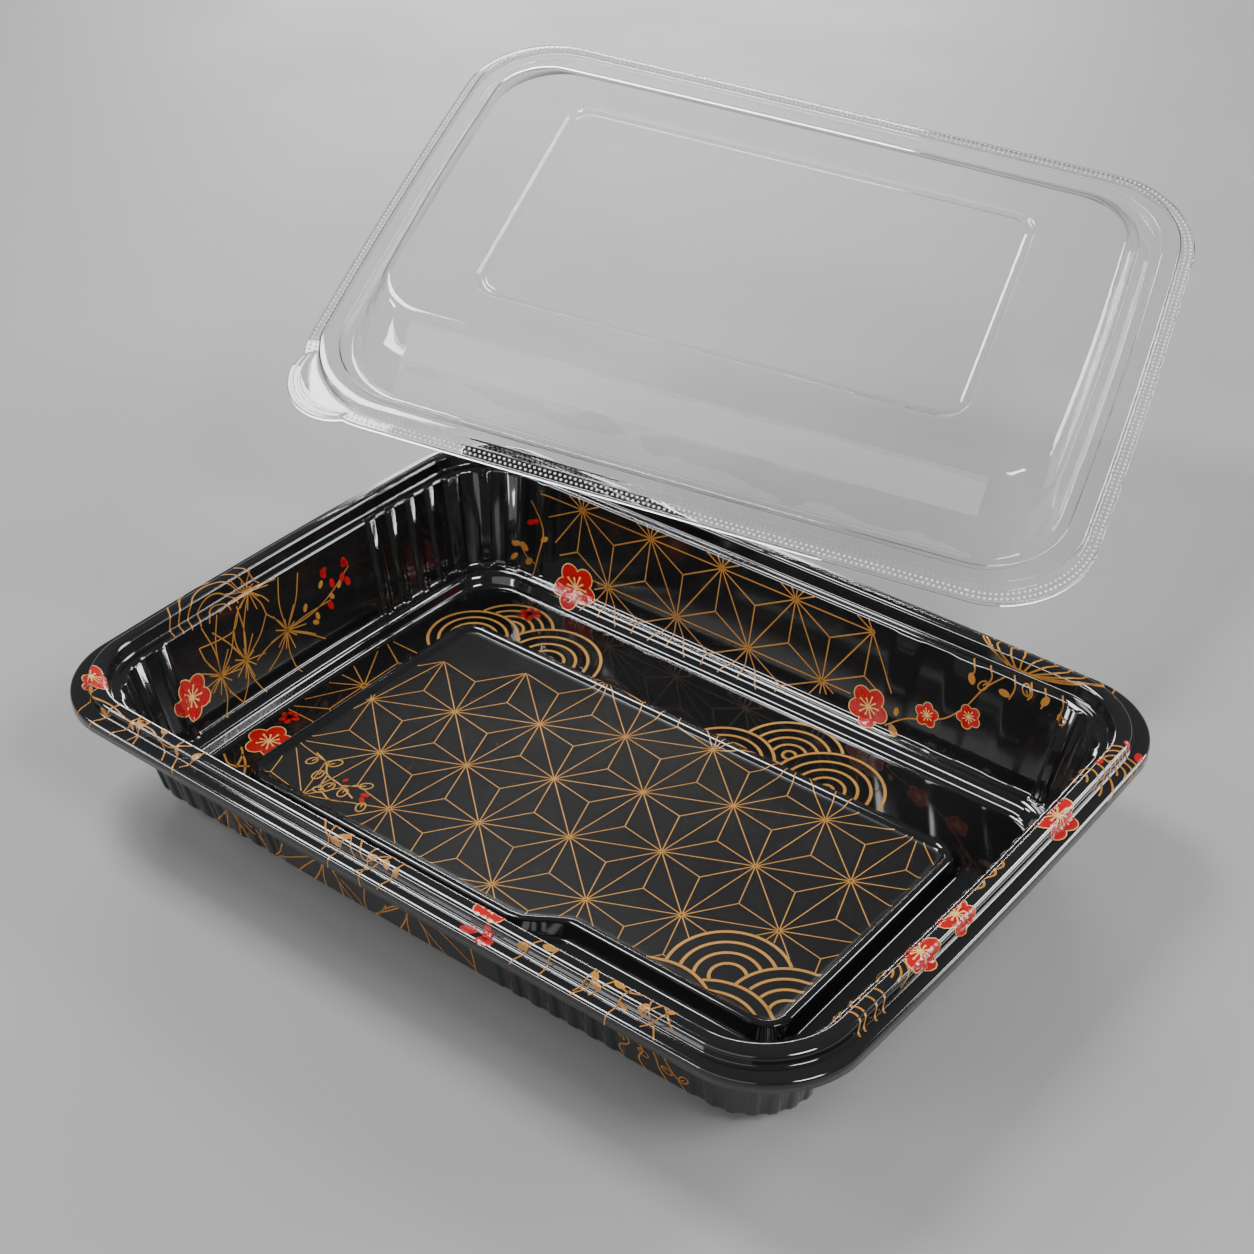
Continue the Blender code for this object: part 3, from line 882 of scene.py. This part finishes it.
# %% Left wall
left_wall = on_wall(LEFT)
LEFT_STARS = {
    (-9.5, 17): [(-1, 3), (-8, 1), (-15, 9), (-22, 20), (-19, 25), (-9, 31), (0, 23), (8, 16), (3, 26)],
    (-25.5, 18): [(-15, 9), (-19, 0), (-24, 2), (-27, 8), (-34, 5), (-34, 18), (-30, 29), (-22, 30)],
    (-34.8, 18): [(-27, 8), (-31, 1), (-37, 2), (-39.5, 7), (-41, 14), (-41, 23), (-37, 30), (-30, 29)],
    (-19, 0): [(-13, 6), (-9, 1), (-15, 9), (-27, 8), (-25, -3), (-30, 1)],
}
for (x, down), tips in LEFT_STARS.items():
    for angle in np.arange(0.2, math.tau, math.tau / 11):
        reach = 5.5 + 2.0 * math.sin(5 * angle)
        tip = x + reach * math.cos(angle), down + reach * math.sin(angle)
        draw("wall_gold", [(x, down, *tip)], 0.34, left_wall)
    for index, (tip_x, tip_down) in enumerate(tips):
        sway = 1.1 * (-1) ** index
        middle = (x + tip_x) / 2 + sway, (down + tip_down) / 2 + sway * 0.4
        draw("wall_gold", curve((x, down), middle, (tip_x, tip_down), steps=5), 0.36, left_wall)
draw("wall_gold", curve((-39.5, 7), (-33, 8), (-27, 8), (-24, 4)), 0.36, left_wall)
draw("wall_gold", curve((17, 9.5), (9, 14), (1, 16.5), (-9.5, 17)), 0.36, left_wall)
blossom(-46, 18.5, 6.6, 0.45, left_wall)
for x, down, turn in [(17, 9, 3.9), (15, 12, 1.3), (13, 13, 5.2), (15, 9, 5.0), (8, 9, 4.4), (6.5, 8, 5.6),
                      (7, 16, 1.2), (10, 13, 4.6)]:
    leaf(x, down, 3.1, turn, left_wall, "red")
for x, down, turn in [(13, 12, 2.2), (8, 14, 1.0), (5, 11, 5.4), (2, 17, 1.4), (-2, 15, 5.2), (0, 19, 0.6)]:
    leaf(x, down, 2.5, turn, left_wall, "wall_gold")

# %% Front wall, outside
front_outside = on_wall(FRONT, outer=True)
FRONT_STARS = {
    (-62, 16.5): [(-70, 28), (-67, 32), (-62, 32), (-57, 32), (-51, 28), (-70, 20), (-53, 21)],
    (-28, 15.5): [(-50, 30), (-43, 32), (-37, 32), (-31, 32), (-25, 30), (-19, 32), (-39, 20), (-18, 20)],
    (0, 15.5): [(-16, 30), (-11, 25), (-8, 32), (-3, 32), (4, 32), (10, 30), (18, 27), (-12, 18), (12, 18)],
    (-51, 31): [(-58, 22), (-51, 18), (-44, 21)],
    (-17, 32): [(-24, 22), (-15, 18), (-9, 22)],
}
FRONT_WAVES = [
    [(-70, 16), (-62, 16), (-51, 19), (-40, 18), (-28, 15.5), (-15, 18), (0, 15.5), (10, 18), (18, 16)],
    [(-70, 15), (-70.5, 22), (-69, 31)], [(18, 14), (18.5, 22), (18, 31)],
]
for (x, down), tips in FRONT_STARS.items():
    for index, (tip_x, tip_down) in enumerate(tips):
        sway = 1.1 * (-1) ** index
        middle = (x + tip_x) / 2 + sway, (down + tip_down) / 2 - sway * 0.5
        draw("wall_gold", curve((x, down), middle, (tip_x, tip_down), steps=6), 0.48, front_outside)
for spots in FRONT_WAVES:
    draw("wall_gold", curve(*spots), 0.48, front_outside)
for shift in (0, 6, 12, 17):
    loop = [(62 + shift, 11), (60 + shift * 0.9, 16), (65 + shift * 0.6, 21), (61 + shift, 26), (64 + shift, 31)]
    draw("wall_gold", curve(*loop), 0.48, front_outside)
    leaf(61.5 + shift, 19 + shift * 0.4, 3.2, 1.0 + shift, front_outside, "wall_gold", filled=False)

# %% [markdown]
# ## Print on the rim
#
# The printed sheet is larger than the floor, so parts of the pattern end up on the rim and the
# flange. They are stretched pieces of blossoms, fans and twigs, drawn across the bends.

# %% Blossoms and arcs on the rim
right_rim, back_rim, front_rim, left_rim = on_wall(RIGHT), on_wall(BACK), on_wall(FRONT), on_wall(LEFT)
for y, down, radius, turn in [(-16, -7.5, 5.8, 0.5), (-31, -8.0, 5.8, 1.0), (28, -8.5, 6.8, 0.2)]:
    blossom(y, down, radius, turn, right_rim)
RIM_FANS = [(-42, -4, 7), (43, -5, 11), (53, -11, 8)]
for y, down, radius in RIM_FANS:
    for share in (1.0, 0.76, 0.52, 0.28):
        draw("wall_gold", ring((y, down), radius * share, start=-1.5, end=1.3), 0.5, right_rim)
for y, down, turn in [(47, -4, 0.4), (50, -6, 2.0), (54, -5, 4.0), (61, -15, 0.3), (63, -12, 1.6), (22, -3, 4.4),
                      (-14, -1, 3.4), (-26, -1.5, 2.6)]:
    leaf(y, down, 3.6, turn, right_rim, "red")
for y in (-58, -56, -52, -49):
    draw("wall_gold", curve((y, -13), (y + 2.5, -8), (y + 1, -2), (y + 4, 1)), 0.5, right_rim)
for y in (-7, -2, 1.5):
    draw("wall_gold", curve((y, -6), (y + 3, -7.5), (y + 6, -5)), 0.6, right_rim)
blossom(-77, -9, 4.8, 0.2, left_rim)
for radius in (4, 7, 10, 13, 16):
    draw("wall_gold", ring((-30, 3), radius, 1.15 * radius, 0, 3.3, 6.1), 0.4, left_rim)
for y in (-76, -68, -63, -55, -50):
    draw("wall_gold", [(y, -19.6, y + 3.6, -19.2)], 1.1, left_rim)

# %% Twigs on the rim
TWIG_ZONES = [(-100, -62, 9), (-20, 8, 6), (50, 85, 9)]
scatter = np.random.default_rng(7)
for low, high, count in TWIG_ZONES:
    for x in np.linspace(low, high, count) + scatter.uniform(-1.5, 1.5, count):
        slant, bend = scatter.uniform(-9, 9), scatter.uniform(-2.5, 2.5)
        top, bottom = scatter.uniform(-4, 1), scatter.uniform(-19, -11)
        middle = x + slant * 0.5 + bend, (top + bottom) / 2
        draw("wall_gold", curve((x + slant, bottom), middle, (x, top)), 0.38, front_rim)
        leaf(*middle, scatter.uniform(2.2, 3.6), scatter.uniform(0, 6.3), front_rim, "wall_gold")
    spots = [(x, scatter.uniform(-11, -5)) for x in np.linspace(low, high, 6)]
    draw("wall_gold", curve(*spots), 0.42, front_rim)
blossom(32, -4.5, 5.4, 0.3, front_rim)
for x, down, turn in [(33, -15, 0.3), (35, -14, 1.9), (32, -13, 3.4)]:
    leaf(x, down, 4.4, turn, front_rim, "red")
for index, x in enumerate(np.linspace(63, 96, 9)):
    tip = x + 4 * math.sin(1.7 * index)
    draw("wall_gold", curve((72 + index * 1.2, -3), (x, -8), (tip, -13), (x + 2, -17)), 0.5, back_rim)
draw("wall_gold", curve((62, -10), (70, -4), (80, -3), (90, -5), (97, -9)), 0.55, back_rim)
for index, x in enumerate((63, 68, 75, 80, 84, 89)):
    draw("wall_gold", curve((x, -1), (x + 1.5, 2), (x + 0.5, 4 + index % 3)), 0.45, back_rim)
    leaf(x + 0.5, 3 + index % 3, 3.4, 1.2 + index, back_rim, "wall_gold", filled=index % 2 == 0)
for y, down in [(94, -16), (99, -13)]:
    draw("wall_gold", [(y, down, y + 4, down + 4)], 0.8, back_rim)
print({ink: len(faces) for ink, (spots, faces) in layers.items()})

# %% [markdown]
# ## Effects that several materials share
#
# Formed plastic is never quite flat. A slow noise bends its mirror images, a finer one carries
# the mould's grain, and thin stretched marks are where it was handled. They are one node group.
# Ink varies too: it lies thicker and darker in some places, which is the second group.

# %% Node tools
def node(tree, kind, **values):
    """New node with its settings. A key with a socket's name sets that input."""
    made = tree.nodes.new(kind)
    for key, value in values.items():
        if hasattr(made, key):
            setattr(made, key, value)
        else:
            made.inputs[key.replace("_", " ")].default_value = value
    return made


def group(name, inputs, outputs):
    """Empty node group with named float or colour sockets, and its two end nodes."""
    tree = bpy.data.node_groups.new(name, "ShaderNodeTree")
    for label, kind, value in inputs:
        socket = tree.interface.new_socket(label, in_out="INPUT", socket_type=kind)
        socket.default_value = value
    for label, kind in outputs:
        tree.interface.new_socket(label, in_out="OUTPUT", socket_type=kind)
    return tree, tree.nodes.new("NodeGroupInput"), tree.nodes.new("NodeGroupOutput")


FLOAT, COLOR, VECTOR = "NodeSocketFloat", "NodeSocketColor", "NodeSocketVector"


# %% Formed sheet group
def sheet_group():
    """Slow ripple and fine grain as a normal, and handling marks as a mask."""
    tree, start, end = group("formed_sheet", [("Ripple", FLOAT, 0.1), ("Grain", FLOAT, 0.02),
                                              ("Scale", FLOAT, 1.0)],
                             [("Normal", VECTOR), ("Marks", FLOAT), ("Cloud", FLOAT)])
    links = tree.links
    place = node(tree, "ShaderNodeTexCoord")
    scaled = node(tree, "ShaderNodeVectorMath", operation="SCALE")
    links.new(place.outputs["Object"], scaled.inputs[0])
    links.new(start.outputs["Scale"], scaled.inputs["Scale"])
    slow = node(tree, "ShaderNodeTexNoise", Scale=38.0, Detail=1.5)
    fine = node(tree, "ShaderNodeTexNoise", Scale=900.0, Detail=2.0)
    cloud = node(tree, "ShaderNodeTexNoise", Scale=16.0, Detail=4.0)
    stretch = node(tree, "ShaderNodeMapping")
    stretch.inputs["Rotation"].default_value = (0.3, 0.2, 0.7)
    stretch.inputs["Scale"].default_value = (40.0, 700.0, 300.0)
    marks = node(tree, "ShaderNodeTexNoise", Scale=1.0, Detail=3.0)
    for texture in (slow, fine, cloud):
        links.new(scaled.outputs[0], texture.inputs["Vector"])
    links.new(scaled.outputs[0], stretch.inputs["Vector"])
    links.new(stretch.outputs[0], marks.inputs["Vector"])
    ripple = node(tree, "ShaderNodeBump", Distance=0.0012)
    grain = node(tree, "ShaderNodeBump", Distance=0.00006)
    links.new(start.outputs["Ripple"], ripple.inputs["Strength"])
    links.new(slow.outputs[0], ripple.inputs["Height"])
    links.new(start.outputs["Grain"], grain.inputs["Strength"])
    links.new(fine.outputs[0], grain.inputs["Height"])
    links.new(ripple.outputs[0], grain.inputs["Normal"])
    thin = node(tree, "ShaderNodeMapRange")
    thin.inputs["From Min"].default_value, thin.inputs["From Max"].default_value = 0.62, 0.80
    links.new(marks.outputs[0], thin.inputs["Value"])
    links.new(grain.outputs[0], end.inputs["Normal"])
    links.new(thin.outputs[0], end.inputs["Marks"])
    links.new(cloud.outputs[0], end.inputs["Cloud"])
    return tree


formed_sheet = sheet_group()


# %% Ink group
def ink_group():
    """Colour of printed ink, mixed between thick and thin, and the mask that mixed it."""
    tree, start, end = group("printed_ink", [("Thick", COLOR, (1, 1, 1, 1)), ("Thin", COLOR, (0, 0, 0, 1)),
                                             ("Scale", FLOAT, 1.0)], [("Color", COLOR), ("Mask", FLOAT)])
    links = tree.links
    place = node(tree, "ShaderNodeTexCoord")
    scaled = node(tree, "ShaderNodeVectorMath", operation="SCALE")
    links.new(place.outputs["Object"], scaled.inputs[0])
    links.new(start.outputs["Scale"], scaled.inputs["Scale"])
    slow = node(tree, "ShaderNodeTexNoise", Scale=90.0, Detail=3.0)
    fine = node(tree, "ShaderNodeTexNoise", Scale=1400.0, Detail=1.0)
    blend = node(tree, "ShaderNodeMath", operation="MULTIPLY_ADD")
    blend.inputs[1].default_value = 0.45
    spread = node(tree, "ShaderNodeMapRange")
    spread.inputs["From Min"].default_value, spread.inputs["From Max"].default_value = 0.5, 0.95
    mix = node(tree, "ShaderNodeMix", data_type="RGBA")
    for texture in (slow, fine):
        links.new(scaled.outputs[0], texture.inputs["Vector"])
    links.new(fine.outputs[0], blend.inputs[0])
    links.new(slow.outputs[0], blend.inputs[2])
    links.new(blend.outputs[0], spread.inputs["Value"])
    links.new(spread.outputs[0], mix.inputs["Factor"])
    links.new(start.outputs["Thick"], mix.inputs["A"])
    links.new(start.outputs["Thin"], mix.inputs["B"])
    links.new(mix.outputs["Result"], end.inputs["Color"])
    links.new(spread.outputs[0], end.inputs["Mask"])
    return tree


printed_ink = ink_group()
print("groups:", [tree.name for tree in bpy.data.node_groups])

# %% [markdown]
# ## Materials
#
# The tray is gloss black, and its raised panel is a satin charcoal. The lid is clear. Each takes
# its colour between two close shades and its roughness between two values, by the masks of the
# shared group, so that no surface is one flat value.


# %% Plastic materials
def blended(tree, mask, low, high):
    """Value between low and high by a mask."""
    between = node(tree, "ShaderNodeMapRange")
    between.inputs["To Min"].default_value, between.inputs["To Max"].default_value = low, high
    tree.links.new(mask, between.inputs["Value"])
    return between.outputs[0]


def plastic(name, dark, light, rough, ripple, grain, clear=0.0, refraction=1.59):
    """Formed plastic with two shades and a roughness of (clean, marked)."""
    material = bpy.data.materials.new(name)
    material.use_nodes = True
    tree = material.node_tree
    shader = tree.nodes["Principled BSDF"]
    sheet = node(tree, "ShaderNodeGroup", node_tree=formed_sheet)
    sheet.inputs["Ripple"].default_value = ripple
    sheet.inputs["Grain"].default_value = grain
    mix = node(tree, "ShaderNodeMix", data_type="RGBA")
    mix.inputs["A"].default_value = (*dark, 1)
    mix.inputs["B"].default_value = (*light, 1)
    tree.links.new(sheet.outputs["Cloud"], mix.inputs["Factor"])
    tree.links.new(mix.outputs["Result"], shader.inputs["Base Color"])
    tree.links.new(blended(tree, sheet.outputs["Marks"], *rough), shader.inputs["Roughness"])
    tree.links.new(sheet.outputs["Normal"], shader.inputs["Normal"])
    shader.inputs["IOR"].default_value = refraction
    shader.inputs["Transmission Weight"].default_value = clear
    return material


gloss_black = plastic("gloss_black", (0.0035, 0.0035, 0.004), (0.008, 0.008, 0.0085), (0.07, 0.16), 0.05, 0.02)
satin_charcoal = plastic("satin_charcoal", (0.005, 0.005, 0.0055), (0.0075, 0.0075, 0.008), (0.40, 0.48), 0.02, 0.25, 0.0, 1.27)
clear_sheet = plastic("clear_sheet", (0.97, 0.975, 0.98), (0.99, 0.99, 0.99), (0.015, 0.07), 0.16, 0.01, 1.0, 1.5)
# The knobs and the tab's ridges are nearly opaque white, not clear like the lid: a painted glint, standing in for
# the bright dots that small clear knobs catch.
painted_glint_knobs = plastic("painted_glint_knobs", (0.95, 0.96, 0.97), (0.99, 0.99, 0.99), (0.25, 0.35), 0.0, 0.05, 0.15, 1.5)


# %% Ink materials
def ink(name, thick, thin, rough):
    material = bpy.data.materials.new(name)
    material.use_nodes = True
    tree = material.node_tree
    shader = tree.nodes["Principled BSDF"]
    colour = node(tree, "ShaderNodeGroup", node_tree=printed_ink)
    colour.inputs["Thick"].default_value = (*thick, 1)
    colour.inputs["Thin"].default_value = (*thin, 1)
    tree.links.new(colour.outputs["Color"], shader.inputs["Base Color"])
    tree.links.new(blended(tree, colour.outputs["Mask"], *rough), shader.inputs["Roughness"])
    return material


INK_LOOKS = {
    "gold": ((0.40, 0.20, 0.036), (0.30, 0.14, 0.023), (0.32, 0.45)),
    "wall_gold": ((0.33, 0.145, 0.024), (0.24, 0.10, 0.016), (0.2, 0.34)),
    "red": ((0.33, 0.004, 0.005), (0.26, 0.003, 0.004), (0.16, 0.3)),
    "deep_red": ((0.20, 0.003, 0.003), (0.15, 0.002, 0.003), (0.16, 0.3)),
    "pale": ((0.62, 0.38, 0.13), (0.46, 0.26, 0.08), (0.2, 0.34)),
}
inks = {name: ink(name + "_ink", *look) for name, look in INK_LOOKS.items()}
print(len(bpy.data.materials), "materials")

# %% [markdown]
# ## The pieces
#
# The tray's sheet and the lid's sheet take the places of the two modelled parts. The knobs and
# the print are further pieces, and all of them ride on the one body.

# %% Pieces in the frame
tray = link("tray_sheet", tray_mesh, [gloss_black, satin_charcoal])
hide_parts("tray")
lid = link("lid_sheet", lid_mesh, [clear_sheet])
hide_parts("lid")
knobs = link("lid_knobs", knob_mesh, [painted_glint_knobs])
ridges = link("lid_tab_ridges", ridge_mesh, [painted_glint_knobs])
for name, (spots, faces) in layers.items():
    print_mesh = make_mesh("print_" + name, np.concatenate(spots), faces)
    sheet = link("print_" + name, print_mesh, [inks[name]], smooth=False)

# %% [markdown]
# ## Floor, light and surroundings
#
# The floor is pale, so the black tray stands out from it. Black gloss shows nothing but what it
# mirrors, so the lights are placed by their mirror images. One hangs over the left side and one
# stands at the back right, and the long bends mirror them. Low strips stand round the box for the
# edges that turn away. The lid's slopes mirror a soft box in front and a small lamp at the front
# right. Its flat top mirrors a spot with no lamp, so it stays clear.

# %% Floor
FAR_FLOOR = 1.3, 3.0


def floor_material():
    """Pale matt floor with a slow cloud of two shades and a fine grain. It turns paler far away,
    where the lamps don't reach, and so it runs into the surroundings."""
    material = bpy.data.materials.new("pale_floor")
    material.use_nodes = True
    tree = material.node_tree
    shader = tree.nodes["Principled BSDF"]
    sheet = node(tree, "ShaderNodeGroup", node_tree=formed_sheet)
    sheet.inputs["Grain"].default_value = 0.4
    sheet.inputs["Ripple"].default_value = 0.0
    mix = node(tree, "ShaderNodeMix", data_type="RGBA")
    mix.inputs["A"].default_value = (0.205, 0.205, 0.203, 1)
    mix.inputs["B"].default_value = (0.225, 0.225, 0.223, 1)
    tree.links.new(sheet.outputs["Cloud"], mix.inputs["Factor"])
    place = node(tree, "ShaderNodeTexCoord")
    distance = node(tree, "ShaderNodeVectorMath", operation="LENGTH")
    tree.links.new(place.outputs["Object"], distance.inputs[0])
    far = node(tree, "ShaderNodeMapRange", interpolation_type="SMOOTHSTEP")
    far.inputs["From Min"].default_value = FAR_FLOOR[0]
    far.inputs["From Max"].default_value = FAR_FLOOR[1]
    tree.links.new(distance.outputs["Value"], far.inputs["Value"])
    fade = node(tree, "ShaderNodeMix", data_type="RGBA")
    fade.inputs["B"].default_value = (0.9, 0.9, 0.9, 1)
    tree.links.new(far.outputs["Result"], fade.inputs["Factor"])
    tree.links.new(mix.outputs["Result"], fade.inputs["A"])
    tree.links.new(fade.outputs["Result"], shader.inputs["Base Color"])
    tree.links.new(blended(tree, sheet.outputs["Cloud"], 0.55, 0.7), shader.inputs["Roughness"])
    tree.links.new(sheet.outputs["Normal"], shader.inputs["Normal"])
    return material


floor_mesh = bpy.data.meshes.new("floor")
floor_mesh.from_pydata([(-12, -12, 0), (12, -12, 0), (12, 12, 0), (-12, 12, 0)], [], [(0, 1, 2, 3)])
floor_mesh.materials.append(floor_material())
floor = bpy.data.objects.new("floor", floor_mesh)
bpy.context.scene.collection.objects.link(floor)


# %% Lights
def lamp(name, direction, distance, size, energy):
    """Soft rectangular lamp in a direction from the tray, facing it."""
    data = bpy.data.lights.new(name, "AREA")
    data.shape, data.size, data.size_y, data.energy = "RECTANGLE", size[0], size[1], energy
    thing = bpy.data.objects.new(name, data)
    bpy.context.scene.collection.objects.link(thing)
    middle = Vector(TRAY_CENTRE) + Vector((0, 0.03, 0.03))
    thing.location = middle + Vector(direction).normalized() * distance
    thing.rotation_euler = (middle - thing.location).to_track_quat("-Z", "Y").to_euler()


lamp("left_lamp", (-0.51, 0.02, 0.86), 1.0, (0.28, 0.32), 9.0)
lamp("right_lamp", (0.42, 0.66, 0.62), 1.1, (0.30, 0.26), 7.0)
lamp("corner_lamp", (0.71, -0.18, 0.68), 1.0, (0.30, 0.22), 8.0)
lamp("left_corner_lamp", (-0.72, -0.42, 0.56), 1.0, (0.18, 0.14), 3.0)
lamp("front_box", (0.10, -0.87, 0.42), 1.2, (1.00, 0.60), 2.8)
lamp("front_strip", (-0.48, -0.80, 0.38), 1.3, (0.70, 0.18), 10.0)
lamp("right_strip", (0.64, 0.72, 0.26), 1.3, (0.60, 0.26), 13.0)
lamp("back_strip", (-0.62, 0.74, 0.20), 1.3, (0.70, 0.24), 13.0)
world = bpy.data.worlds.new("studio")
bpy.context.scene.world = world
world.use_nodes = True
world.node_tree.nodes["Background"].inputs["Color"].default_value = (0.80, 0.82, 0.85, 1)
world.node_tree.nodes["Background"].inputs["Strength"].default_value = 0.22
